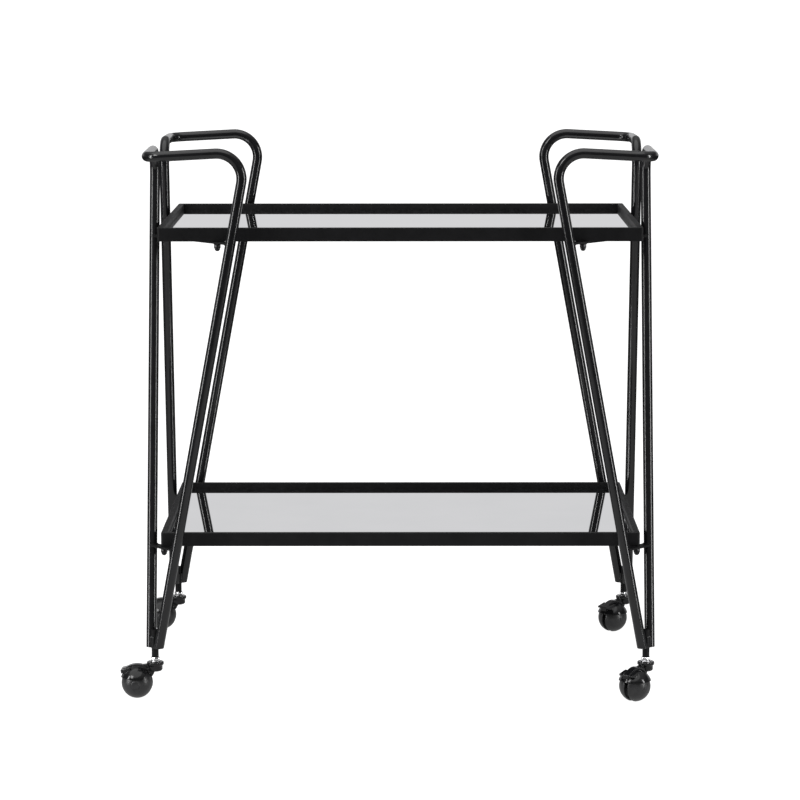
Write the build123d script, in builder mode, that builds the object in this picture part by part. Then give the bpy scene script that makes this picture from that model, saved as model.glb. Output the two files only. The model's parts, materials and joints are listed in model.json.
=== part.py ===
"""Bar cart on four hooded ball casters.

Four bent-tube leg frames, one at each corner, carry two mirrored trays on short flat straps.
Millimetres, +Z up, +X to the cart's right, front at -Y. The origin is on the floor, in the
middle of the cart.
"""

import os
from math import atan2, cos, degrees, radians, sin

from build123d import *

os.makedirs("parts", exist_ok=True)

# ---------------------------------------------------------------- driving dimensions, mm
# Trays: a welded rim of rectangular tube with a recessed mirror
tray_half_width = 376.0
tray_half_depth = 224.8
rim_height = 21.0
rim_width = 9.5
rim_wall = 1.2
rim_corner_radius = 4.0
rim_edge_radius = 0.8
mitre_gap = 0.1
rim_tops = {"upper": 740.8, "lower": 261.0}
mirror_recess = 8.8
mirror_thickness = 4.0
mirror_edge = 0.6
board_thickness = 3.0
board_edge = 0.3
pane_gap = 0.3
ledge_width = 12.0
ledge_thickness = 2.0
ledge_end_gap = 0.5

# Leg frames: each is one tube, bent from the slanted foot round the handle to the outer foot
tube_radius = 8.0
tube_wall = 1.2
foot_z = 81.4
slanted_foot_x = 379.6
slanted_plane_y = 246.4
handle_inner_x = 234.8
handle_inner_z = 859.6
corner_x = 390.0
corner_z = 851.4
grip_end_x = 388.6
grip_end_y = 83.8
grip_end_z = 854.6
outer_foot_x = 392.2
outer_foot_y = 234.0
handle_bend_radius = 38.5
corner_bend_radius = 24.0
grip_bend_radius = 34.0
path_overrun = 20.0
bore_overrun = 8.0

# Straps that carry the trays, and their M6 fasteners
strap_width = 15.0
strap_thickness = 3.0
stud_radius = 3.0
stud_inset = 4.75
stud_shift = 3.0
stud_length = 13.0
thread_gap = 0.05
strap_hole_radius = 3.4
washer_radius = 6.2
washer_thickness = 1.6
cap_nut_across_flats = 10.0
cap_nut_hex_height = 6.0
cap_nut_dome_radius = 4.8
cap_nut_end_gap = 1.0

# Caster sockets and M8 stems
bush_radius = 5.5
bush_bottom_z = 66.0
bush_height = 44.0
bush_edge = 0.6
bush_bore_depth = 36.0
socket_radius = 4.0
stem_radius = 3.95
stem_bottom_z = 45.8
stem_top_z = 98.4
stem_nut_across_flats = 13.0
stem_nut_height = 6.0
stem_washer_radius = 8.0
stem_washer_thickness = 1.1
ring_groove_radius = 3.2
ring_radius = 5.1
ring_thickness = 1.0
ring_z = 46.7
ring_gap = 0.1

# Ball casters
ball_radius = 24.7
ball_wall = 3.5
ball_hub_radius = 6.0
ball_hub_reach = 22.0
ball_inner_face = 3.0
trail = 29.0
axle_radius = 2.5
axle_half_length = 17.5
axle_running_gap = 0.06
hood_inner_radius = 25.6
hood_outer_radius = 27.3
hood_skirt_z = 34.2
spine_radius = 30.0
spine_width = 11.0
visor_half_width = 13.0
neck_width = 8.0
web_thickness = 5.0
hub_radius = 6.5
boss_radius = 11.4
boss_foot_chamfer = 2.0
boss_flange_radius = 13.4
boss_flange_chamfer = 1.6
boss_flange_height = 4.4
boss_bottom_z = 44.0
boss_top_z = 58.6
boss_edge_radius = 1.2
boss_groove_radius = 5.6
boss_groove_top_z = 48.1
boss_groove_bottom_z = 45.3

# Caster profile: (distance, angle) from the ball's centre, angle from the trail direction
hood_back_edge = (16.5, 145)
spine_ends = (36, 139)
beak_root_angle = 69
beak_tip = (33.0, 41)
beak_heel = (29.0, 30)
beak_inside = (24.0, 50)
visor_root = (27.2, 72)
visor_heel = (30.3, 38)
visor_inside = (23.0, 50)
neck_root_angle = 105
neck_inside = (20.0, 100)
web_top_angles = (60, 150)
web_hub_angles = (200, 10)
web_overlap = 0.5

# Neck's lower edge: the knee under the boss, and where it meets the ball's web
neck_knee_x = 4.0
neck_knee_drop = 8.0
neck_shoulder = 2.0
neck_toe_setback = 12.0
neck_toe_rise = 4.0

# Corner signs in X and Y, and the way each ball trails from its stem, degrees from +X
corners = {
    "front_left": (-1, -1, 177.0),
    "front_right": (1, -1, 230.0),
    "rear_left": (-1, 1, 180.0),
    "rear_right": (1, 1, 226.0),
}


# ---------------------------------------------------------------- shared geometry
def at_height(foot, top, z):
    """The point of a straight leg's centreline at height z."""
    share = (z - foot.Z) / (top.Z - foot.Z)
    return foot + (top - foot) * share


def leg_corners(sx, sy):
    """Corner points of a leg frame's centreline: foot, handle, corner, grip end, foot."""
    return [
        Vector(sx * slanted_foot_x, sy * slanted_plane_y, foot_z),
        Vector(sx * handle_inner_x, sy * slanted_plane_y, handle_inner_z),
        Vector(sx * corner_x, sy * slanted_plane_y, corner_z),
        Vector(sx * grip_end_x, sy * grip_end_y, grip_end_z),
        Vector(sx * outer_foot_x, sy * outer_foot_y, foot_z),
    ]


def stem_point(sx, sy):
    """Where a caster's stem axis meets the floor: midway between the two feet."""
    slanted_foot, _, _, _, outer_foot = leg_corners(sx, sy)
    middle = (slanted_foot + outer_foot) * 0.5
    return Vector(middle.X, middle.Y, 0)


def strap_ends(sx, sy, z):
    """The slanted leg's and the outer leg's centres at the strap's height."""
    slanted_foot, handle, _, grip_end, outer_foot = leg_corners(sx, sy)
    return at_height(slanted_foot, handle, z), at_height(outer_foot, grip_end, z)


def strap_middle_z(level):
    """Height of a strap's middle: straps lie flat under the rim."""
    return rim_tops[level] - rim_height - strap_thickness / 2


def stud_point(sx, sy, level):
    """A stud stands in the middle of the front or rear rail, where the strap crosses it."""
    slanted, outer = strap_ends(sx, sy, strap_middle_z(level))
    y = sy * (tray_half_depth - stud_inset)
    share = (y - slanted.Y) / (outer.Y - slanted.Y)
    x = slanted.X + (outer.X - slanted.X) * share - sx * stud_shift
    limit = tray_half_width - rim_width / 2
    return Vector(sx * min(abs(x), limit), y, rim_tops[level] - rim_height)


def caster_plane(sx, sy, heading):
    """Floor plane under a stem, with X along the caster's trail."""
    direction = (cos(radians(heading)), sin(radians(heading)), 0)
    return Plane(origin=stem_point(sx, sy), x_dir=direction, z_dir=(0, 0, 1))


def trail_plane(sx, sy, heading):
    """Upright middle plane of a caster: X along its trail, Y up, Z along the axle."""
    floor = caster_plane(sx, sy, heading)
    return Plane(origin=floor.origin, x_dir=floor.x_dir, z_dir=floor.x_dir.cross(Vector(0, 0, 1)))


def save(piece, name):
    """Label a finished piece and write its STEP file."""
    piece.label = name
    export_step(piece, f"parts/{name}.step")


# ---------------------------------------------------------------- trays
def make_tray_frame(level):
    """Rectangular-tube rim, mitred and welded at its corners: four hollow rails."""
    bottom = rim_tops[level] - rim_height
    outer_size = (2 * tray_half_width, 2 * tray_half_depth)
    inner_size = (outer_size[0] - 2 * rim_width, outer_size[1] - 2 * rim_width)
    with BuildPart() as frame:
        with BuildSketch(Plane.XY.offset(bottom)):
            RectangleRounded(*outer_size, rim_corner_radius)
            Rectangle(*inner_size, mode=Mode.SUBTRACT)
        extrude(amount=rim_height)
        flat_faces = frame.faces().filter_by(Axis.Z)
        fillet(flat_faces.edges(), radius=rim_edge_radius)
        with BuildSketch(Plane.XY.offset(bottom + rim_wall)):
            RectangleRounded(
                outer_size[0] - 2 * rim_wall,
                outer_size[1] - 2 * rim_wall,
                rim_corner_radius - rim_wall,
            )
            Rectangle(
                inner_size[0] + 2 * rim_wall, inner_size[1] + 2 * rim_wall, mode=Mode.SUBTRACT
            )
        extrude(amount=rim_height - 2 * rim_wall, mode=Mode.SUBTRACT)
        for sx in (-1, 1):
            for sy in (-1, 1):
                with BuildSketch(Plane.XY.offset(bottom)):
                    with Locations((sx * tray_half_width, sy * tray_half_depth)):
                        Rectangle(4 * rim_width, mitre_gap, rotation=45 * sx * sy)
                extrude(amount=rim_height, mode=Mode.SUBTRACT)
    save(frame.part, f"{level}_tray_frame")


def make_pane(level, name, top_z, thickness, edge):
    """A flat pane that lies inside the rim, with eased edges."""
    half_width = tray_half_width - rim_width - pane_gap
    half_depth = tray_half_depth - rim_width - pane_gap
    with BuildPart() as pane:
        with BuildSketch(Plane.XY.offset(top_z)):
            Rectangle(2 * half_width, 2 * half_depth)
        extrude(amount=-thickness)
        chamfer(pane.edges(), length=edge)
    save(pane.part, f"{level}_{name}")


def make_ledge(level, top_z):
    """Four flat bars, welded inside the rim, that carry the board and the mirror."""
    half_width = tray_half_width - rim_width
    half_depth = tray_half_depth - rim_width
    bar_middle_x = half_width - ledge_width / 2
    bar_middle_y = half_depth - ledge_width / 2
    with BuildPart() as ledge:
        with BuildSketch(Plane.XY.offset(top_z)):
            with Locations((0, bar_middle_y), (0, -bar_middle_y)):
                Rectangle(2 * half_width, ledge_width)
            with Locations((bar_middle_x, 0), (-bar_middle_x, 0)):
                Rectangle(ledge_width, 2 * (half_depth - ledge_width - ledge_end_gap))
        extrude(amount=-ledge_thickness)
    save(ledge.part, f"{level}_ledge_bars")


for tray in rim_tops:
    mirror_top = rim_tops[tray] - mirror_recess
    board_top = mirror_top - mirror_thickness
    make_tray_frame(tray)
    make_pane(tray, "mirror", mirror_top, mirror_thickness, mirror_edge)
    make_pane(tray, "backing_board", board_top, board_thickness, board_edge)
    make_ledge(tray, board_top - board_thickness)


# ---------------------------------------------------------------- leg frames
def solid_tube(sx, sy, radius, cut_z):
    """A round bar along one corner's centreline, both ends cut level at cut_z."""
    points = leg_corners(sx, sy)
    start = points[0] + (points[0] - points[1]).normalized() * path_overrun
    end = points[4] + (points[4] - points[3]).normalized() * path_overrun
    bends = [handle_bend_radius, corner_bend_radius, grip_bend_radius]
    with BuildPart() as bar:
        with BuildLine():
            FilletPolyline(start, *points[1:4], end, radius=bends)
        with BuildSketch(Plane(origin=start, z_dir=points[1] - points[0])):
            Circle(radius)
        sweep()
        split(bisect_by=Plane.XY.offset(cut_z), keep=Keep.TOP)
    return bar.part


def make_leg(name, sx, sy):
    """One bent tube, cut flat at both feet and coped round the caster's bush."""
    stem = stem_point(sx, sy)
    outside = solid_tube(sx, sy, tube_radius, foot_z)
    bore = solid_tube(sx, sy, tube_radius - tube_wall, foot_z - bore_overrun)
    with BuildPart() as leg:
        add(outside)
        add(bore, mode=Mode.SUBTRACT)
        with BuildSketch(Plane(origin=(stem.X, stem.Y, bush_bottom_z))):
            Circle(bush_radius)
        extrude(amount=bush_height, mode=Mode.SUBTRACT)
    save(leg.part, f"leg_tube_{name}")


def make_strap(name, sx, sy, level):
    """Flat bar from the slanted leg to the outer leg, cut to the round of both tubes."""
    middle_z = strap_middle_z(level)
    slanted, outer = strap_ends(sx, sy, middle_z)
    centre = (slanted + outer) * 0.5
    run = outer - slanted
    stud = stud_point(sx, sy, level)
    tube = solid_tube(sx, sy, tube_radius, foot_z)
    with BuildPart() as strap:
        with BuildSketch(Plane.XY.offset(middle_z - strap_thickness / 2)):
            with Locations((centre.X, centre.Y)):
                Rectangle(run.length, strap_width, rotation=degrees(atan2(run.Y, run.X)))
            with Locations((stud.X, stud.Y)):
                Circle(strap_hole_radius, mode=Mode.SUBTRACT)
        extrude(amount=strap_thickness)
        add(tube, mode=Mode.SUBTRACT)
    save(strap.part, f"{level}_strap_{name}")


def make_bush(name, sx, sy):
    """Round steel bush between the two feet, drilled and tapped M8 from below."""
    stem = stem_point(sx, sy)
    with BuildPart() as bush:
        with BuildSketch(Plane(origin=(stem.X, stem.Y, bush_bottom_z))):
            Circle(bush_radius)
        extrude(amount=bush_height)
        chamfer(bush.edges().group_by(Axis.Z)[0], length=bush_edge)
        with BuildSketch(Plane(origin=(stem.X, stem.Y, bush_bottom_z))):
            Circle(socket_radius)
        extrude(amount=bush_bore_depth, mode=Mode.SUBTRACT)
    save(bush.part, f"caster_bush_{name}")


for corner, (side_x, side_y, _) in corners.items():
    make_leg(corner, side_x, side_y)
    make_bush(corner, side_x, side_y)
    for tray in rim_tops:
        make_strap(corner, side_x, side_y, tray)


# ---------------------------------------------------------------- tray fasteners
def fastener_points(drop):
    """Under each of the eight studs, a plane that faces down, drop below the rim."""
    spots = [stud_point(sx, sy, level) for sx, sy, _ in corners.values() for level in rim_tops]
    return [Plane(origin=(p.X, p.Y, p.Z - drop), z_dir=(0, 0, -1)) for p in spots]


with BuildPart() as tray_studs:
    with BuildSketch(*fastener_points(0)):
        Circle(stud_radius - thread_gap)
    extrude(amount=stud_length)
save(tray_studs.part, "tray_studs")

with BuildPart() as tray_washers:
    with BuildSketch(*fastener_points(strap_thickness)):
        Circle(washer_radius)
        Circle(strap_hole_radius, mode=Mode.SUBTRACT)
    extrude(amount=washer_thickness)
save(tray_washers.part, "tray_washers")

with BuildPart() as cap_nuts:
    nut_drop = strap_thickness + washer_thickness
    with BuildSketch(*fastener_points(nut_drop)):
        RegularPolygon(cap_nut_across_flats / 2, 6, major_radius=False)
    extrude(amount=cap_nut_hex_height)
    with Locations(*fastener_points(nut_drop + cap_nut_hex_height)):
        Sphere(cap_nut_dome_radius)
    with BuildSketch(*fastener_points(nut_drop)):
        Circle(stud_radius)
    extrude(amount=stud_length - nut_drop + cap_nut_end_gap, mode=Mode.SUBTRACT)
save(cap_nuts.part, "cap_nuts")


# ---------------------------------------------------------------- caster stems
def stem_planes(z):
    """Level planes at height z, one on each caster's stem."""
    spots = [stem_point(sx, sy) for sx, sy, _ in corners.values()]
    return [Plane(origin=(p.X, p.Y, z)) for p in spots]


washer_bottom_z = bush_bottom_z - stem_nut_height - stem_washer_thickness

with BuildPart() as caster_stems:
    with BuildSketch(*stem_planes(stem_bottom_z)):
        Circle(stem_radius)
    extrude(amount=stem_top_z - stem_bottom_z)
    with BuildSketch(*stem_planes(ring_z)):
        Circle(ring_radius)
        Circle(ring_groove_radius, mode=Mode.SUBTRACT)
    extrude(amount=ring_thickness + ring_gap, mode=Mode.SUBTRACT)
save(caster_stems.part, "caster_stems")

with BuildPart() as stem_rings:
    with BuildSketch(*stem_planes(ring_z)):
        Circle(ring_radius)
        Circle(ring_groove_radius + thread_gap, mode=Mode.SUBTRACT)
    extrude(amount=ring_thickness)
save(stem_rings.part, "stem_retaining_rings")

with BuildPart() as stem_washers:
    with BuildSketch(*stem_planes(washer_bottom_z)):
        Circle(stem_washer_radius)
        Circle(socket_radius, mode=Mode.SUBTRACT)
    extrude(amount=stem_washer_thickness)
save(stem_washers.part, "stem_washers")

with BuildPart() as stem_nuts:
    with BuildSketch(*stem_planes(washer_bottom_z + stem_washer_thickness)):
        RegularPolygon(stem_nut_across_flats / 2, 6, major_radius=False)
        Circle(socket_radius, mode=Mode.SUBTRACT)
    extrude(amount=stem_nut_height)
save(stem_nuts.part, "stem_nuts")


# ---------------------------------------------------------------- ball casters
def around_ball(radius, angle):
    """A point of a caster's middle plane, by its distance and angle from the ball's centre."""
    return (
        trail + radius * cos(radians(angle)),
        ball_radius + radius * sin(radians(angle)),
    )


def make_hood(name, sx, sy, heading):
    """Moulded caster body: stem boss, neck, hood with a beaked spine, and axle web."""
    floor = caster_plane(sx, sy, heading)
    middle = trail_plane(sx, sy, heading)
    stem_axis = Axis(floor.origin, (0, 0, 1))
    ball_centre = (trail, 0, ball_radius)
    back_edge = middle.from_local_coords(Vector(*around_ball(*hood_back_edge), 0))
    back_cut = Plane(origin=back_edge, z_dir=floor.x_dir * 2 + Vector(0, 0, 1))

    with BuildPart(floor) as hood:
        # the hood over the ball, open below and on the stem's side
        with Locations(ball_centre):
            Sphere(hood_outer_radius)
        split(bisect_by=Plane.XY.offset(hood_skirt_z), keep=Keep.TOP)
        split(bisect_by=back_cut, keep=Keep.TOP)
        # the spine over its middle, which runs on to a beak
        with BuildSketch(middle):
            with Locations((trail, ball_radius)):
                Circle(spine_radius)
            with BuildLine():
                Polyline(
                    (trail, ball_radius),
                    around_ball(2 * spine_radius, spine_ends[0]),
                    around_ball(2 * spine_radius, sum(spine_ends) / 2),
                    around_ball(2 * spine_radius, spine_ends[1]),
                    close=True,
                )
            make_face(mode=Mode.INTERSECT)
            with BuildLine():
                Polyline(
                    around_ball(spine_radius, beak_root_angle),
                    around_ball(*beak_tip),
                    around_ball(*beak_heel),
                    around_ball(*beak_inside),
                    close=True,
                )
            make_face()
        extrude(amount=spine_width / 2, both=True)
        # the broad visor behind the beak
        with BuildSketch(middle):
            with BuildLine():
                Polyline(
                    around_ball(*visor_root),
                    around_ball(*beak_tip),
                    around_ball(*visor_heel),
                    around_ball(*visor_inside),
                    close=True,
                )
            make_face()
        extrude(amount=visor_half_width, both=True)
        # the neck from the spine to the boss
        with BuildSketch(middle):
            with BuildLine():
                Polyline(
                    (0, boss_top_z - neck_shoulder),
                    (0, boss_bottom_z),
                    (neck_knee_x, boss_bottom_z - neck_knee_drop),
                    (trail - neck_toe_setback, ball_radius + neck_toe_rise),
                    around_ball(*neck_inside),
                    around_ball(spine_radius, neck_root_angle),
                    close=True,
                )
            make_face()
        extrude(amount=neck_width / 2, both=True)
        # room for the ball
        with Locations(ball_centre):
            Sphere(hood_inner_radius, mode=Mode.SUBTRACT)
        # the boss that turns on the stem
        with BuildSketch(middle):
            with BuildLine():
                Polyline(
                    (0, boss_bottom_z),
                    (boss_radius - boss_foot_chamfer, boss_bottom_z),
                    (boss_radius, boss_bottom_z + boss_foot_chamfer),
                    (boss_radius, boss_top_z - boss_flange_height - boss_flange_chamfer),
                    (boss_flange_radius, boss_top_z - boss_flange_height),
                    (boss_flange_radius, boss_top_z),
                    (0, boss_top_z),
                    close=True,
                )
            make_face()
        revolve(axis=stem_axis)
        fillet(hood.edges().filter_by(GeomType.CIRCLE).group_by(Axis.Z)[-1], boss_edge_radius)
        # the web between the ball's halves, down to the axle
        with BuildSketch(middle):
            with BuildLine():
                Polyline(
                    around_ball(hood_inner_radius + web_overlap, web_top_angles[0]),
                    around_ball(hood_inner_radius + web_overlap, web_top_angles[1]),
                    around_ball(hub_radius, web_hub_angles[0]),
                    around_ball(hub_radius, web_hub_angles[1]),
                    close=True,
                )
            make_face()
            with Locations((trail, ball_radius)):
                Circle(hub_radius)
        extrude(amount=web_thickness / 2, both=True)
        with BuildSketch(middle):
            with Locations((trail, ball_radius)):
                Circle(axle_radius + axle_running_gap)
        extrude(amount=web_thickness, both=True, mode=Mode.SUBTRACT)
        # the stem's bore, with a groove for its retaining ring
        with BuildSketch(Plane.XY.offset(boss_groove_top_z)):
            with Locations((floor.origin.X, floor.origin.Y)):
                Circle(socket_radius)
        extrude(amount=boss_top_z - boss_groove_top_z, mode=Mode.SUBTRACT)
        with BuildSketch(Plane.XY.offset(boss_groove_bottom_z)):
            with Locations((floor.origin.X, floor.origin.Y)):
                Circle(boss_groove_radius)
        extrude(amount=boss_groove_top_z - boss_groove_bottom_z, mode=Mode.SUBTRACT)
    save(hood.part, f"caster_hood_{name}")


def make_ball_half(name, sx, sy, heading, side):
    """Half of a ball, hollow, with a blind hub pressed on the axle."""
    middle = trail_plane(sx, sy, heading)
    centre = middle.from_local_coords(Vector(trail, ball_radius, 0))
    outward = middle.z_dir * side
    with BuildPart(Plane(origin=centre, z_dir=outward)) as half:
        Sphere(ball_radius)
        Sphere(ball_radius - ball_wall, mode=Mode.SUBTRACT)
        Cylinder(ball_hub_radius, ball_hub_reach, align=(Align.CENTER, Align.CENTER, Align.MIN))
        split(bisect_by=Plane(origin=centre + outward * ball_inner_face, z_dir=outward))
        with BuildSketch(Plane(origin=centre, z_dir=outward)):
            Circle(axle_radius)
        extrude(amount=axle_half_length, mode=Mode.SUBTRACT)
    save(half.part, name)


def make_axle(name, sx, sy, heading):
    """Steel pin through the web, pressed into both halves of the ball."""
    middle = trail_plane(sx, sy, heading)
    with BuildPart() as axle:
        with BuildSketch(middle):
            with Locations((trail, ball_radius)):
                Circle(axle_radius)
        extrude(amount=axle_half_length, both=True)
    save(axle.part, f"ball_axle_{name}")


for corner, (side_x, side_y, turned) in corners.items():
    make_hood(corner, side_x, side_y, turned)
    make_ball_half(f"ball_half_a_{corner}", side_x, side_y, turned, 1)
    make_ball_half(f"ball_half_b_{corner}", side_x, side_y, turned, -1)
    make_axle(corner, side_x, side_y, turned)
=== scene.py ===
"""Looks of the bar cart: gloss black bent tubes, mirrored trays and hooded ball casters."""

import json
from math import acos, atan2, cos, pi, radians, sin, tan

import bmesh
import bpy
from mathutils import Matrix, Vector


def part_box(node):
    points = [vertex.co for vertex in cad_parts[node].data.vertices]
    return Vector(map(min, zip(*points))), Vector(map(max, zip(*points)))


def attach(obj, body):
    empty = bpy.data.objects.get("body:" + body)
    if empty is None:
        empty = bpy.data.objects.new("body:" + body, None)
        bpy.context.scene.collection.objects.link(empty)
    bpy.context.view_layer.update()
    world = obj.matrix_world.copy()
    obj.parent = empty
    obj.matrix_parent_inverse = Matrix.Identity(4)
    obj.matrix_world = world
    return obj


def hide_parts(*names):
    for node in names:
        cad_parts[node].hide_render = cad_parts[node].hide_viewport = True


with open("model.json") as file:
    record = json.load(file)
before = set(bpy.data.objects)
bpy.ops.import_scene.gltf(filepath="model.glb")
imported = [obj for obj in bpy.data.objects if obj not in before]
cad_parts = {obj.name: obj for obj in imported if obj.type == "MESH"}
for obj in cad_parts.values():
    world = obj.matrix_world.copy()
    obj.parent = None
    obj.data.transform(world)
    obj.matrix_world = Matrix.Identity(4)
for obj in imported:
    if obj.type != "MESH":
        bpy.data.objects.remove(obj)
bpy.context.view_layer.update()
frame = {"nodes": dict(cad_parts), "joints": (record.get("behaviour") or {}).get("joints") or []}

CORNERS = {
    "front_left": (-1, -1),
    "front_right": (1, -1),
    "rear_left": (-1, 1),
    "rear_right": (1, 1),
}
LEVELS = ("upper", "lower")
ROOT_BODY = "cart_frame"
SHARP_ANGLE = radians(38)

# Leg tubes, in metres: the same corner points and bends as the CAD tubes
TUBE_RADIUS = 0.008
TUBE_BORE = 0.0068
FOOT_Z = 0.0814
SLANTED_FOOT_X = 0.3796
SLANTED_PLANE_Y = 0.2464
HANDLE_INNER_X = 0.2348
HANDLE_INNER_Z = 0.8596
CORNER_X = 0.39
CORNER_Z = 0.8514
GRIP_END = (0.3886, 0.0838, 0.8546)
OUTER_FOOT_X = 0.3922
OUTER_FOOT_Y = 0.234
BENDS = (0.0385, 0.024, 0.034)
TUBE_SIDES = 48
STRAP_HALF_WIDTH = 0.0075
STRAP_EDGE = 0.0006
EASED_EDGE_ANGLE = radians(50)

# Weld beads: how far they stand off the metal, their size and the spacing of their points
WELD_PROUD = 0.0004
WELD_RIPPLE = 0.13
RIPPLE_POINTS = 3
BLUNT_END = 0.25
STRAP_WELD_RADIUS = 0.0012
STRAP_WELD_HALF_COUNT = 12
FOOT_WELD_RADIUS = 0.0014
FOOT_WELD_COUNT = 22
FOOT_WELD_STEP = 0.0009
FOOT_WELD_DROP = 0.0006
FOOT_WELD_TURN = radians(68)

# Fasteners. Cap nut rows are (distance down, share of the width across flats), and stem nut rows
# are (share of the height, share of the width across flats, share of each side that is flat)
HEXAGON_SIDE_POINTS = (-1, -0.5, 0, 0.5, 1)
CAP_NUT_FLATS = 0.010
CAP_NUT_ROUNDING = 0.96
CAP_NUT_HEXAGON = ((0.0, 0.93), (0.0005, 1.0), (0.0052, 1.0), (0.0059, 0.92))
CAP_DOME_START = 0.0055
CAP_DOME_SHOULDER = 0.0066
CAP_DOME_RADIUS = 0.0043
CAP_DOME_STEPS = 12
CAP_DOME_SIDES = 32
STEM_NUT_FLATS = 0.013
STEM_NUT_ROWS = ((0.0, 0.9, 0.93), (0.14, 1.0, 0.97), (0.86, 1.0, 0.97), (1.0, 0.9, 0.93))
TRAY_WASHER_BORE = 0.0034
STEM_WASHER_BORE = 0.004
WASHER_EASE = 0.35
WASHER_SIDES = 40

# Casters. The pocket is (distance along the axle, radius) from the hub's face outwards
HOOD_VOXEL = 0.00045
HOOD_EASING_STEPS = 5
HOOD_FACE_SHARE = 0.35
BALL_RADIUS = 0.0247
BALL_POCKET = ((0.003, 0.0), (0.003, 0.0058), (0.0095, 0.0066), (0.0095, 0.0195), (0.003, 0.0213))
BALL_INNER_FACE = 0.003
BALL_DOME_START = 0.0042
BALL_DOME_STEPS = 44
BALL_SIDES = 64
BALL_RIM_EASE = ((0.0, 0.0009), (0.0004, 0.0002))
BALL_POLE_SHARE = 0.9985
HUB_GROOVE = (0.0066, 0.0076)
HUB_GROOVE_DEPTH = 0.0005


# ---------------------------------------------------------------- materials
class Shader:
    """A node material under construction, with short calls for the nodes that it needs."""

    # Noise seldom leaves this range, which is stretched over the whole pattern
    NOISE_RANGE = (0.3, 0.7)

    def __init__(self, name, **sockets):
        self.material = bpy.data.materials.new(name)
        self.material.use_nodes = True
        self.tree = self.material.node_tree
        self.surface = self.tree.nodes["Principled BSDF"]
        for socket, value in sockets.items():
            self.surface.inputs[socket.replace("_", " ")].default_value = value
        self.place = self.tree.nodes.new("ShaderNodeTexCoord").outputs["Object"]

    def link(self, output, socket):
        self.tree.links.new(output, socket)

    def noise(self, scale, detail=3.0, stretch=(1, 1, 1)):
        """Noise over the object's own coordinates, in features per metre."""
        mapping = self.tree.nodes.new("ShaderNodeMapping")
        mapping.inputs["Scale"].default_value = stretch
        self.link(self.place, mapping.inputs["Vector"])
        noise = self.tree.nodes.new("ShaderNodeTexNoise")
        noise.inputs["Scale"].default_value = scale
        noise.inputs["Detail"].default_value = detail
        self.link(mapping.outputs["Vector"], noise.inputs["Vector"])
        return noise.outputs["Fac"]

    def span(self, value, low, high):
        """Map a 0-1 pattern to low-high, with the middle of the noise stretched out."""
        mapped = self.tree.nodes.new("ShaderNodeMapRange")
        mapped.inputs["From Min"].default_value = self.NOISE_RANGE[0]
        mapped.inputs["From Max"].default_value = self.NOISE_RANGE[1]
        mapped.inputs["To Min"].default_value = low
        mapped.inputs["To Max"].default_value = high
        self.link(value, mapped.inputs["Value"])
        return mapped.outputs["Result"]

    def mottle(self, value, dark, light):
        ramp = self.tree.nodes.new("ShaderNodeValToRGB")
        ends = zip(ramp.color_ramp.elements, self.NOISE_RANGE, (dark, light))
        for element, position, colour in ends:
            element.position = position
            element.color = (*colour, 1)
        self.link(value, ramp.inputs["Fac"])
        self.link(ramp.outputs["Color"], self.surface.inputs["Base Color"])

    def rough(self, value, low, high):
        self.link(self.span(value, low, high), self.surface.inputs["Roughness"])

    def bump(self, value, strength, height):
        bump = self.tree.nodes.new("ShaderNodeBump")
        bump.inputs["Strength"].default_value = strength
        bump.inputs["Distance"].default_value = height
        self.link(value, bump.inputs["Height"])
        self.link(bump.outputs["Normal"], self.surface.inputs["Normal"])


def gloss_black_tube():
    """Smooth gloss powder coat: faint orange peel and slight thickness mottling."""
    coat = Shader("gloss_black_tube", Specular_IOR_Level=0.4, Coat_Weight=0.3, Coat_Roughness=0.06)
    coat.mottle(
        coat.noise(scale=60, detail=4),
        dark=(0.0055, 0.0055, 0.006),
        light=(0.009, 0.009, 0.0105),
    )
    coat.rough(coat.noise(scale=220, detail=2), low=0.16, high=0.24)
    coat.bump(coat.noise(scale=700, detail=2), strength=0.12, height=0.0001)
    return coat.material


def satin_black_rim():
    """Semi-gloss powder coat on the trays' rims and the straps."""
    coat = Shader("satin_black_rim", Specular_IOR_Level=0.22)
    coat.mottle(
        coat.noise(scale=45, detail=4),
        dark=(0.0035, 0.0035, 0.004),
        light=(0.0065, 0.0065, 0.0074),
    )
    coat.rough(coat.noise(scale=160, detail=2), low=0.48, high=0.6)
    coat.bump(coat.noise(scale=900, detail=2), strength=0.15, height=0.0001)
    return coat.material


def silvered_glass():
    """Mirror: bright metal behind clear glass, with the faintest film of dust."""
    glass = Shader("silvered_glass", Metallic=1.0)
    glass.mottle(
        glass.noise(scale=9, detail=5),
        dark=(0.86, 0.865, 0.87),
        light=(0.9, 0.9, 0.905),
    )
    glass.rough(glass.noise(scale=35, detail=4), low=0.004, high=0.02)
    return glass.material


def black_board():
    """Black-faced fibreboard on the trays' undersides."""
    board = Shader("black_board", Specular_IOR_Level=0.3)
    fibres = board.noise(scale=260, detail=6, stretch=(1, 3.5, 1))
    board.mottle(
        fibres,
        dark=(0.011, 0.0105, 0.01),
        light=(0.021, 0.02, 0.019),
    )
    board.rough(fibres, low=0.55, high=0.72)
    board.bump(fibres, strength=0.35, height=0.0002)
    return board.material


LATHE_MARK_SHADE = 0.86


def plated_steel(name, tint, low, high):
    """Turned and plated steel with fine lathe marks round its axis."""
    steel = Shader(name, Metallic=1.0)
    marks = steel.noise(scale=300, detail=3, stretch=(1, 1, 18))
    steel.mottle(marks, dark=tuple(LATHE_MARK_SHADE * part for part in tint), light=tint)
    steel.rough(marks, low=low, high=high)
    steel.bump(marks, strength=0.12, height=0.00005)
    return steel.material


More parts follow.
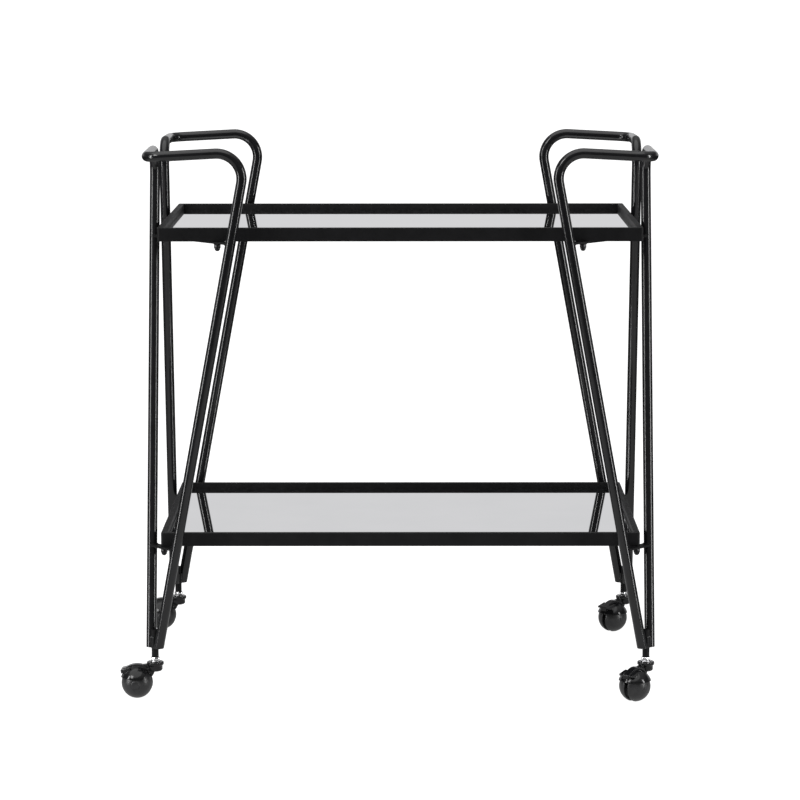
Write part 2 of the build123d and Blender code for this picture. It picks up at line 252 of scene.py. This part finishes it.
def black_zinc():
    """Black-plated fasteners with a little bare metal in the tone."""
    zinc = Shader("black_zinc", Metallic=0.55, Specular_IOR_Level=0.5)
    zinc.mottle(
        zinc.noise(scale=500, detail=4),
        dark=(0.011, 0.011, 0.012),
        light=(0.03, 0.03, 0.032),
    )
    zinc.rough(zinc.noise(scale=900, detail=2), low=0.24, high=0.38)
    zinc.bump(zinc.noise(scale=1500, detail=2), strength=0.12, height=0.00005)
    return zinc.material


def gloss_black_moulding():
    """Polished black plastic of the caster hoods, with fine flow marks."""
    hood = Shader("gloss_black_moulding", Specular_IOR_Level=0.3, Coat_Weight=0.2, Coat_Roughness=0.05)
    hood.mottle(
        hood.noise(scale=90, detail=3),
        dark=(0.005, 0.005, 0.0055),
        light=(0.0085, 0.0085, 0.0095),
    )
    hood.rough(hood.noise(scale=300, detail=2), low=0.11, high=0.19)
    hood.bump(hood.noise(scale=240, detail=2), strength=0.1, height=0.00015)
    return hood.material


def grey_nylon():
    """Satin dark grey nylon of the balls: fine texture and light scuffs from the floor."""
    nylon = Shader("grey_nylon", Specular_IOR_Level=0.5)
    nylon.mottle(
        nylon.noise(scale=130, detail=6),
        dark=(0.017, 0.017, 0.018),
        light=(0.029, 0.029, 0.03),
    )
    nylon.rough(nylon.noise(scale=420, detail=4), low=0.26, high=0.42)
    nylon.bump(nylon.noise(scale=1800, detail=2), strength=0.2, height=0.00008)
    return nylon.material


TUBE = gloss_black_tube()
RIM = satin_black_rim()
MIRROR = silvered_glass()
BOARD = black_board()
ZINC = black_zinc()
STEEL = plated_steel("zinc_plated_steel", tint=(0.55, 0.55, 0.56), low=0.22, high=0.34)
BRIGHT = plated_steel("bright_nickel", tint=(0.86, 0.86, 0.87), low=0.08, high=0.16)
HOOD = gloss_black_moulding()
NYLON = grey_nylon()


# ---------------------------------------------------------------- mesh helpers
def new_piece(name, points, faces, material, body):
    """A closed smooth-shaded mesh that rides on a body."""
    mesh = bpy.data.meshes.new(name)
    mesh.from_pydata([tuple(p) for p in points], [], faces)
    work = bmesh.new()
    work.from_mesh(mesh)
    bmesh.ops.recalc_face_normals(work, faces=work.faces)
    work.to_mesh(mesh)
    work.free()
    return finish_piece(name, mesh, material, body)


def finish_piece(name, mesh, material, body):
    mesh.materials.clear()
    mesh.materials.append(material)
    mesh.shade_smooth()
    mesh.set_sharp_from_angle(angle=SHARP_ANGLE)
    piece = bpy.data.objects.new(name, mesh)
    bpy.context.scene.collection.objects.link(piece)
    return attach(piece, body)


def rounded_route(points, radii, step=radians(5)):
    """A route through points, its inner corners rounded by arcs of the given radii."""
    route = [points[0]]
    for before, corner, after, radius in zip(points, points[1:], points[2:], radii):
        back = (before - corner).normalized()
        ahead = (after - corner).normalized()
        half = acos(max(-1.0, min(1.0, back.dot(ahead)))) / 2
        centre = corner + (back + ahead).normalized() * (radius / sin(half))
        start = corner + back * (radius / tan(half)) - centre
        turn = pi - 2 * half
        axis = start.cross(-back).normalized()
        count = max(2, round(turn / step))
        for i in range(count + 1):
            route.append(centre + Matrix.Rotation(turn * i / count, 3, axis) @ start)
    route.append(points[-1])
    return route


def tangents(route):
    """The direction of a route at each of its points."""
    found = []
    for i, point in enumerate(route):
        before = route[max(i - 1, 0)]
        after = route[min(i + 1, len(route) - 1)]
        incoming = (point - before).normalized()
        outgoing = (after - point).normalized()
        found.append((incoming + outgoing).normalized())
    return found


def rings_along(route, radii, sides):
    """Rings of points round a route, turned as little as possible from one to the next."""
    directions = tangents(route)
    side = directions[0].orthogonal().normalized()
    rings = []
    for point, direction, radius in zip(route, directions, radii):
        side = (side - direction * side.dot(direction)).normalized()
        other = direction.cross(side)
        ring = []
        for k in range(sides):
            angle = 2 * pi * k / sides
            ring.append(point + (side * cos(angle) + other * sin(angle)) * radius)
        rings.append(ring)
    return rings


def ring_faces(count, sides, first=0, closed=False):
    """Quads between rings that follow each other, and back to the first if closed."""
    faces = []
    for i in range(count if closed else count - 1):
        low = first + i * sides
        high = first + (i + 1) % count * sides
        for k in range(sides):
            after = (k + 1) % sides
            faces.append((low + k, low + after, high + after, high + k))
    return faces


def lathe(profile, sides, place):
    """Points and faces of a profile of (along, radius) turned round an axis.

    place maps (along, x, y) to a point. A radius of zero ends the profile in a pole.
    """
    points, faces, rows = [], [], []
    for along, radius in profile:
        first = len(points)
        count = 1 if radius == 0 else sides
        for k in range(count):
            angle = 2 * pi * k / sides
            points.append(place(along, radius * cos(angle), radius * sin(angle)))
        rows.append((first, count))
    for (a, many_a), (b, many_b) in zip(rows, rows[1:]):
        for k in range(sides):
            after = (k + 1) % sides
            if many_a == 1:
                faces.append((a, b + after, b + k))
            elif many_b == 1:
                faces.append((a + k, a + after, b))
            else:
                faces.append((a + k, a + after, b + after, b + k))
    return points, faces


def islands(node):
    """The separate solids of a CAD node, as (lowest corner, highest corner) pairs."""
    work = bmesh.new()
    work.from_mesh(frame["nodes"][node].data)
    bmesh.ops.remove_doubles(work, verts=work.verts, dist=1e-6)
    boxes = []
    seen = set()
    for seed in work.verts:
        if seed in seen:
            continue
        seen.add(seed)
        group, queue = [], [seed]
        while queue:
            vert = queue.pop()
            group.append(vert.co.copy())
            for edge in vert.link_edges:
                other = edge.other_vert(vert)
                if other not in seen:
                    seen.add(other)
                    queue.append(other)
        low = Vector(min(p[i] for p in group) for i in range(3))
        high = Vector(max(p[i] for p in group) for i in range(3))
        boxes.append((low, high))
    work.free()
    return boxes


def gather(shapes):
    """Join (points, faces) shapes into one."""
    points, faces = [], []
    for shape_points, shape_faces in shapes:
        shift = len(points)
        points += shape_points
        faces += [tuple(i + shift for i in face) for face in shape_faces]
    return points, faces


def soften(node, width):
    """Ease a CAD node's sharp edges, as paint and tumbling do. Its mesh stays as it is."""
    bevel = frame["nodes"][node].modifiers.new("eased_edges", "BEVEL")
    bevel.width = width
    bevel.segments = 2
    bevel.limit_method = "ANGLE"
    bevel.angle_limit = EASED_EDGE_ANGLE
    bevel.harden_normals = True


# ---------------------------------------------------------------- leg tubes
def leg_corners(sx, sy):
    return [
        Vector((sx * SLANTED_FOOT_X, sy * SLANTED_PLANE_Y, FOOT_Z)),
        Vector((sx * HANDLE_INNER_X, sy * SLANTED_PLANE_Y, HANDLE_INNER_Z)),
        Vector((sx * CORNER_X, sy * SLANTED_PLANE_Y, CORNER_Z)),
        Vector((sx * GRIP_END[0], sy * GRIP_END[1], GRIP_END[2])),
        Vector((sx * OUTER_FOOT_X, sy * OUTER_FOOT_Y, FOOT_Z)),
    ]


def cut_level(ring, direction):
    """Slide a ring's points along the tube to the level of the foot."""
    return [p + direction * ((FOOT_Z - p.z) / direction.z) for p in ring]


def leg_tube(name, sx, sy):
    """One bent tube with a wall, both its feet cut level."""
    route = rounded_route(leg_corners(sx, sy), BENDS)
    directions = tangents(route)
    skins = []
    for radius in (TUBE_RADIUS, TUBE_BORE):
        rings = rings_along(route, [radius] * len(route), TUBE_SIDES)
        rings[0] = cut_level(rings[0], directions[0])
        rings[-1] = cut_level(rings[-1], directions[-1])
        skins.append(rings)
    rings = skins[0] + skins[1][::-1]
    points = [p for ring in rings for p in ring]
    faces = ring_faces(len(rings), TUBE_SIDES, closed=True)
    tube = new_piece(f"bent_tube_{name}", points, faces, TUBE, ROOT_BODY)
    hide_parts(f"leg_tube_{name}")


def bead(points, radius, sides=14):
    """A weld bead along points: a rippled run with rounded ends."""
    route = []
    radii = []
    count = len(points)
    for i, point in enumerate(points):
        ripple = 1 + WELD_RIPPLE * sin(2 * pi * i / RIPPLE_POINTS)
        ends = min(i, count - 1 - i) / RIPPLE_POINTS
        taper = sin(pi / 2 * min(1.0, BLUNT_END + ends))
        route.append(point)
        radii.append(radius * ripple * taper)
    rings = rings_along(route, radii, sides)
    shape = [p for ring in rings for p in ring]
    faces = ring_faces(count, sides)
    faces.append(tuple(range(sides)))
    faces.append(tuple((count - 1) * sides + k for k in range(sides)))
    return shape, faces


def leg_centre(sx, sy, z, which):
    """The centre of the slanted (0) or outer (1) leg at height z."""
    corners = leg_corners(sx, sy)
    foot, top = (corners[0], corners[1]) if which == 0 else (corners[4], corners[3])
    return foot + (top - foot) * ((z - foot.z) / (top.z - foot.z))


def strap_welds(name, sx, sy):
    """Beads above and below each strap's end, round the tube that it meets."""
    shapes = []
    for level in LEVELS:
        low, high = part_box(f"{level}_strap_{name}")
        for z in (low.z, high.z):
            for which in (0, 1):
                centre = leg_centre(sx, sy, z, which)
                aim = leg_centre(sx, sy, z, 1 - which) - centre
                middle = atan2(aim.y, aim.x)
                spread = STRAP_HALF_WIDTH / TUBE_RADIUS
                run = []
                for i in range(2 * STRAP_WELD_HALF_COUNT + 1):
                    angle = middle + spread * (i / STRAP_WELD_HALF_COUNT - 1)
                    reach = TUBE_RADIUS + WELD_PROUD
                    run.append(centre + Vector((cos(angle), sin(angle), 0)) * reach)
                shapes.append(bead(run, STRAP_WELD_RADIUS))
    points, faces = gather(shapes)
    new_piece(f"strap_welds_{name}", points, faces, RIM, ROOT_BODY)


def bush_welds(name, sx, sy):
    """Upright beads where the bush lies against the two feet."""
    low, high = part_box(f"caster_bush_{name}")
    middle = (low + high) / 2
    radius = (high.x - low.x) / 2
    shapes = []
    for which in (0, 1):
        foot = leg_centre(sx, sy, FOOT_Z, which)
        aim = Vector((foot.x - middle.x, foot.y - middle.y, 0)).normalized()
        for turn in (-1, 1):
            side = Matrix.Rotation(turn * FOOT_WELD_TURN, 3, "Z") @ aim
            run = []
            for i in range(FOOT_WELD_COUNT):
                z = FOOT_Z - FOOT_WELD_DROP + i * FOOT_WELD_STEP
                run.append(Vector((middle.x, middle.y, z)) + side * (radius + WELD_PROUD))
            shapes.append(bead(run, FOOT_WELD_RADIUS))
    points, faces = gather(shapes)
    new_piece(f"foot_welds_{name}", points, faces, TUBE, ROOT_BODY)


for corner, (side_x, side_y) in CORNERS.items():
    leg_tube(corner, side_x, side_y)
    strap_welds(corner, side_x, side_y)
    bush_welds(corner, side_x, side_y)
    frame["nodes"][f"caster_bush_{corner}"].data.materials[0] = RIM
    for tray in LEVELS:
        frame["nodes"][f"{tray}_strap_{corner}"].data.materials[0] = RIM
        soften(f"{tray}_strap_{corner}", STRAP_EDGE)


# ---------------------------------------------------------------- trays
for tray in LEVELS:
    for part, finish in (
        ("tray_frame", RIM),
        ("ledge_bars", RIM),
        ("mirror", MIRROR),
        ("backing_board", BOARD),
    ):
        frame["nodes"][f"{tray}_{part}"].data.materials[0] = finish


# ---------------------------------------------------------------- fasteners
def hexagon_ring(place, along, across_flats, corner_round):
    """A hexagon with rounded corners, as a ring of points at one height."""
    ring = []
    apothem = across_flats / 2
    for side in range(6):
        for part in HEXAGON_SIDE_POINTS:
            angle = side * pi / 3 + part * pi / 6 * corner_round
            reach = apothem / cos(part * pi / 6 * corner_round)
            ring.append(place(along, reach * cos(angle), reach * sin(angle)))
    return ring


def skin(rings):
    """Points and faces of rings of equal size, with flat ends."""
    sides = len(rings[0])
    points = [p for ring in rings for p in ring]
    faces = ring_faces(len(rings), sides)
    faces.append(tuple(range(sides)))
    faces.append(tuple((len(rings) - 1) * sides + k for k in range(sides)))
    return points, faces


def downward(centre, top):
    """Places a turned shape under a point, its axis pointing down."""
    return lambda along, x, y: Vector((centre.x + x, centre.y + y, top - along))


def cap_nuts():
    """Dome nuts: a chamfered hexagon, a groove and a dome."""
    shapes = []
    for low, high in islands("cap_nuts"):
        centre = (low + high) / 2
        place = downward(centre, high.z)
        tall = high.z - low.z
        hexagon = []
        for along, share in CAP_NUT_HEXAGON:
            hexagon.append(hexagon_ring(place, along, CAP_NUT_FLATS * share, CAP_NUT_ROUNDING))
        shapes.append(skin(hexagon))
        dome = [
            (CAP_DOME_START, 0.0),
            (CAP_DOME_START, CAP_DOME_RADIUS),
            (CAP_DOME_SHOULDER, CAP_DOME_RADIUS),
        ]
        for i in range(1, CAP_DOME_STEPS):
            angle = pi / 2 * i / CAP_DOME_STEPS
            along = CAP_DOME_SHOULDER + (tall - CAP_DOME_SHOULDER) * sin(angle)
            dome.append((along, CAP_DOME_RADIUS * cos(angle)))
        dome.append((tall, 0.0))
        shapes.append(lathe(dome, CAP_DOME_SIDES, place))
    points, faces = gather(shapes)
    piece = new_piece("dome_nuts", points, faces, ZINC, ROOT_BODY)
    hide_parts("cap_nuts")


def flat_washers(name, node, bore, material):
    """Punched washers, rounded on the punch side."""
    shapes = []
    for low, high in islands(node):
        centre = (low + high) / 2
        radius = (high.x - low.x) / 2
        thick = high.z - low.z
        ease = thick * WASHER_EASE
        sheared = ease / 2
        rolled = ease * 0.3
        profile = [
            (0, bore),
            (0, radius - sheared),
            (sheared, radius),
            (thick - ease, radius),
            (thick - rolled, radius - rolled),
            (thick, radius - ease),
            (thick, bore),
            (0, bore),
        ]
        shapes.append(lathe(profile, WASHER_SIDES, downward(centre, high.z)))
    points, faces = gather(shapes)
    piece = new_piece(name, points, faces, material, ROOT_BODY)
    weld_seams(piece)
    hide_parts(node)


def weld_seams(piece):
    """Merge a lathe profile's first and last rows, which lie on each other."""
    work = bmesh.new()
    work.from_mesh(piece.data)
    bmesh.ops.remove_doubles(work, verts=work.verts, dist=1e-7)
    bmesh.ops.recalc_face_normals(work, faces=work.faces)
    work.to_mesh(piece.data)
    work.free()
    piece.data.set_sharp_from_angle(angle=SHARP_ANGLE)


def stem_nuts():
    """Bright hexagon nuts with chamfered corners, above each caster."""
    shapes = []
    for low, high in islands("stem_nuts"):
        centre = (low + high) / 2
        place = downward(centre, high.z)
        tall = high.z - low.z
        rings = []
        for height, share, rounding in STEM_NUT_ROWS:
            rings.append(hexagon_ring(place, tall * height, STEM_NUT_FLATS * share, rounding))
        shapes.append(skin(rings))
    points, faces = gather(shapes)
    piece = new_piece("bright_stem_nuts", points, faces, BRIGHT, ROOT_BODY)
    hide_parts("stem_nuts")


cap_nuts()
stem_nuts()
flat_washers("tray_washers_punched", "tray_washers", TRAY_WASHER_BORE, ZINC)
flat_washers("stem_washers_punched", "stem_washers", STEM_WASHER_BORE, BRIGHT)
for hidden in ("tray_studs", "caster_stems", "stem_retaining_rings"):
    frame["nodes"][hidden].data.materials[0] = STEEL


# ---------------------------------------------------------------- casters
def moulded_hood(name):
    """The caster body with the soft edges of a moulding: its CAD shape, remeshed and eased."""
    node = f"caster_hood_{name}"
    copy = bpy.data.objects.new("hood_work", frame["nodes"][node].data.copy())
    bpy.context.scene.collection.objects.link(copy)
    remesh = copy.modifiers.new("voxels", "REMESH")
    remesh.mode = "VOXEL"
    remesh.voxel_size = HOOD_VOXEL
    ease = copy.modifiers.new("ease", "SMOOTH")
    ease.factor = 0.5
    ease.iterations = HOOD_EASING_STEPS
    thin = copy.modifiers.new("thin", "DECIMATE")
    thin.ratio = HOOD_FACE_SHARE
    graph = bpy.context.evaluated_depsgraph_get()
    mesh = bpy.data.meshes.new_from_object(copy.evaluated_get(graph))
    bpy.data.objects.remove(copy)
    piece = finish_piece(f"moulded_hood_{name}", mesh, HOOD, f"caster_{name}")
    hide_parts(node)


def ball_halves(name, joint):
    """Two hollow domes on the axle, each with a hub and a fine moulded ring round its pole."""
    centre = Vector(joint["pos_m"])
    axle = Vector(joint["axis"]).normalized()
    up = Vector((0, 0, 1))
    across = axle.cross(up)
    dome_turn = acos(BALL_DOME_START / BALL_RADIUS)
    dome_edge = BALL_RADIUS * sin(dome_turn)
    profile = list(BALL_POCKET)
    for along, inset in BALL_RIM_EASE:
        profile.append((BALL_INNER_FACE + along, dome_edge - inset))
    for i in range(BALL_DOME_STEPS):
        angle = dome_turn * (1 - i / BALL_DOME_STEPS)
        reach = BALL_RADIUS
        if HUB_GROOVE[0] < BALL_RADIUS * sin(angle) < HUB_GROOVE[1]:
            reach = BALL_RADIUS - HUB_GROOVE_DEPTH
        profile.append((reach * cos(angle), reach * sin(angle)))
    profile.append((BALL_RADIUS * BALL_POLE_SHARE, 0.0))
    for letter, way in (("a", 1), ("b", -1)):

        def place(along, x, y, way=way):
            return centre + axle * (way * along) + across * x + up * y

        points, faces = lathe(profile, BALL_SIDES, place)
        half = new_piece(
            f"ball_dome_{letter}_{name}", points, faces, NYLON, f"ball_{name}"
        )
        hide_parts(f"ball_half_{letter}_{name}")
    frame["nodes"][f"ball_axle_{name}"].data.materials[0] = STEEL


joints = {joint["name"]: joint for joint in frame["joints"]}
for corner in CORNERS:
    moulded_hood(corner)
    ball_halves(corner, joints[f"roll_{corner}"])


# ---------------------------------------------------------------- studio
# The floor that is seen, and the pool of light on it that only the reflections show
FLOOR_COLOUR = (0.3, 0.3, 0.3)
FLOOR_LIGHT = 1.0
POOL_CENTRE = (0, -1.1, 0)
POOL_INNER_RADIUS = 0.8
POOL_OUTER_RADIUS = 2.7
POOL_LIGHT = 0.6
DARK_FLOOR_LIGHT = 0.03
POOL_HEIGHT = -0.001

# The room: its ramps are (position, brightness) over the direction's Y (back) or Z (up)
ROOM_LIGHT = (0.06, 0.06, 0.06, 1)
WALL_LIGHT = (0.68, 0.68, 0.69, 1)
WALL_BY_Y = ((0.3, 0.1), (0.85, 1.0))
WALL_BY_Z = ((0.2, 1.0), (0.42, 0.12))
CEILING_BY_Z = ((0.4, 0.0), (0.95, 0.5))

# Sockets of a Mix node in its colour mode
MIX_FROM = 6
MIX_TO = 7
MIX_RESULT = 2

# The camera, and the point that the lamps face
LENS_MM = 132.75
CAMERA_PLACE = (0.0098, -4.7674, 1.1637)
CAMERA_TURN = radians(0.1294)
CAMERA_TILT = radians(90 - 8.657)
CAMERA_ROLL = radians(-0.051)
MIDDLE = (0.0, 0.0, 0.45)
SUN_STRENGTH = 1.1
SUN_ANGLE = radians(70)
SUN_TURN = (radians(12), radians(-8), 0)


def emitter(name, colour, strength):
    """A stage material that glows evenly and scatters some light."""
    material = bpy.data.materials.new(name)
    material.use_nodes = True
    surface = material.node_tree.nodes["Principled BSDF"]
    surface.inputs["Base Color"].default_value = (*colour, 1)
    surface.inputs["Roughness"].default_value = 0.9
    surface.inputs["Specular IOR Level"].default_value = 0.0
    surface.inputs["Emission Strength"].default_value = strength
    surface.inputs["Emission Color"].default_value = (1, 1, 1, 1)
    return material


def plane(name, height, material):
    """A wide level plane that isn't part of the object."""
    mesh = bpy.data.meshes.new(name)
    reach = 90.0
    corners = [(-reach, -reach), (reach, -reach), (reach, reach), (-reach, reach)]
    mesh.from_pydata([(x, y, height) for x, y in corners], [], [(0, 1, 2, 3)])
    mesh.materials.append(material)
    sheet = bpy.data.objects.new(name, mesh)
    bpy.context.scene.collection.objects.link(sheet)
    return sheet


def studio_floor():
    """The pale floor in the picture, and the pool of light on it that the gloss reflects."""
    seen = plane("studio_floor", 0.0, emitter("studio_floor", FLOOR_COLOUR, FLOOR_LIGHT))
    seen.visible_glossy = False
    seen.visible_diffuse = False
    seen.visible_shadow = False

    pool = emitter("light_pool", (0.0, 0.0, 0.0), 1.0)
    tree = pool.node_tree
    place = tree.nodes.new("ShaderNodeTexCoord")
    reach = tree.nodes.new("ShaderNodeVectorMath")
    reach.operation = "DISTANCE"
    reach.inputs[1].default_value = POOL_CENTRE
    fade = tree.nodes.new("ShaderNodeMapRange")
    fade.interpolation_type = "SMOOTHSTEP"
    fade.inputs["From Min"].default_value = POOL_INNER_RADIUS
    fade.inputs["From Max"].default_value = POOL_OUTER_RADIUS
    fade.inputs["To Min"].default_value = POOL_LIGHT
    fade.inputs["To Max"].default_value = DARK_FLOOR_LIGHT
    tree.links.new(place.outputs["Object"], reach.inputs[0])
    tree.links.new(reach.outputs["Value"], fade.inputs["Value"])
    surface = tree.nodes["Principled BSDF"]
    tree.links.new(fade.outputs["Result"], surface.inputs["Emission Color"])
    reflected = plane("light_pool", POOL_HEIGHT, pool)
    reflected.visible_camera = False


def ramp_of(tree, value, points):
    """A smooth 0-1 ramp of a value through (position, brightness) points."""
    ramp = tree.nodes.new("ShaderNodeValToRGB")
    ramp.color_ramp.interpolation = "EASE"
    while len(ramp.color_ramp.elements) < len(points):
        ramp.color_ramp.elements.new(0.5)
    for element, (position, level) in zip(ramp.color_ramp.elements, points):
        element.position = position
        element.color = (level, level, level, 1)
    tree.links.new(value, ramp.inputs["Fac"])
    return ramp.outputs["Color"]


def studio_world():
    """Surroundings: a dim room, with a low bright wall behind and a soft ceiling."""
    world = bpy.data.worlds.new("studio")
    world.use_nodes = True
    tree = world.node_tree
    place = tree.nodes.new("ShaderNodeTexCoord")
    split = tree.nodes.new("ShaderNodeSeparateXYZ")
    tree.links.new(place.outputs["Generated"], split.inputs["Vector"])
    behind = ramp_of(tree, split.outputs["Y"], WALL_BY_Y)
    low = ramp_of(tree, split.outputs["Z"], WALL_BY_Z)
    above = ramp_of(tree, split.outputs["Z"], CEILING_BY_Z)
    wall = tree.nodes.new("ShaderNodeMix")
    wall.data_type = "RGBA"
    wall.inputs[MIX_FROM].default_value = ROOM_LIGHT
    wall.inputs[MIX_TO].default_value = WALL_LIGHT
    both = tree.nodes.new("ShaderNodeMath")
    both.operation = "MULTIPLY"
    tree.links.new(behind, both.inputs[0])
    tree.links.new(low, both.inputs[1])
    tree.links.new(both.outputs["Value"], wall.inputs[0])
    total = tree.nodes.new("ShaderNodeVectorMath")
    tree.links.new(wall.outputs[MIX_RESULT], total.inputs[0])
    tree.links.new(above, total.inputs[1])
    tree.links.new(total.outputs["Vector"], tree.nodes["Background"].inputs["Color"])
    bpy.context.scene.world = world


def softbox(name, centre, target, width, height, watts):
    """An area light that faces a point and stays out of the picture itself."""
    light = bpy.data.lights.new(name, "AREA")
    light.shape = "RECTANGLE"
    light.size = width
    light.size_y = height
    light.energy = watts
    lamp = bpy.data.objects.new(name, light)
    lamp.location = centre
    lamp.rotation_euler = (Vector(target) - Vector(centre)).to_track_quat("-Z", "Y").to_euler()
    lamp.visible_camera = False
    bpy.context.scene.collection.objects.link(lamp)


def overhead_sun():
    """A very wide, weak sun: the even light of a ceiling of softboxes."""
    sun = bpy.data.lights.new("ceiling", "SUN")
    sun.energy = SUN_STRENGTH
    sun.angle = SUN_ANGLE
    lamp = bpy.data.objects.new("ceiling", sun)
    lamp.rotation_euler = SUN_TURN
    bpy.context.scene.collection.objects.link(lamp)


def studio_camera():
    """Long lens, a little above the handles and looking slightly down."""
    lens = bpy.data.cameras.new("camera")
    lens.sensor_width = 36.0
    lens.lens = LENS_MM
    lens.clip_end = 300.0
    camera = bpy.data.objects.new("camera", lens)
    aim = (
        Matrix.Rotation(CAMERA_TURN, 4, "Z")
        @ Matrix.Rotation(CAMERA_TILT, 4, "X")
        @ Matrix.Rotation(CAMERA_ROLL, 4, "Z")
    )
    camera.matrix_world = Matrix.Translation(CAMERA_PLACE) @ aim
    bpy.context.scene.collection.objects.link(camera)
    bpy.context.scene.camera = camera


studio_floor()
studio_world()
overhead_sun()
for left_or_right in (-2.3, 2.3):
    softbox("strip_light", (left_or_right, -1.1, 0.85), MIDDLE, width=0.32, height=1.8, watts=26)
softbox("key_light", (-2.6, -2.6, 3.0), MIDDLE, width=1.2, height=1.2, watts=40)
studio_camera()
bpy.context.scene.view_settings.view_transform = "Standard"
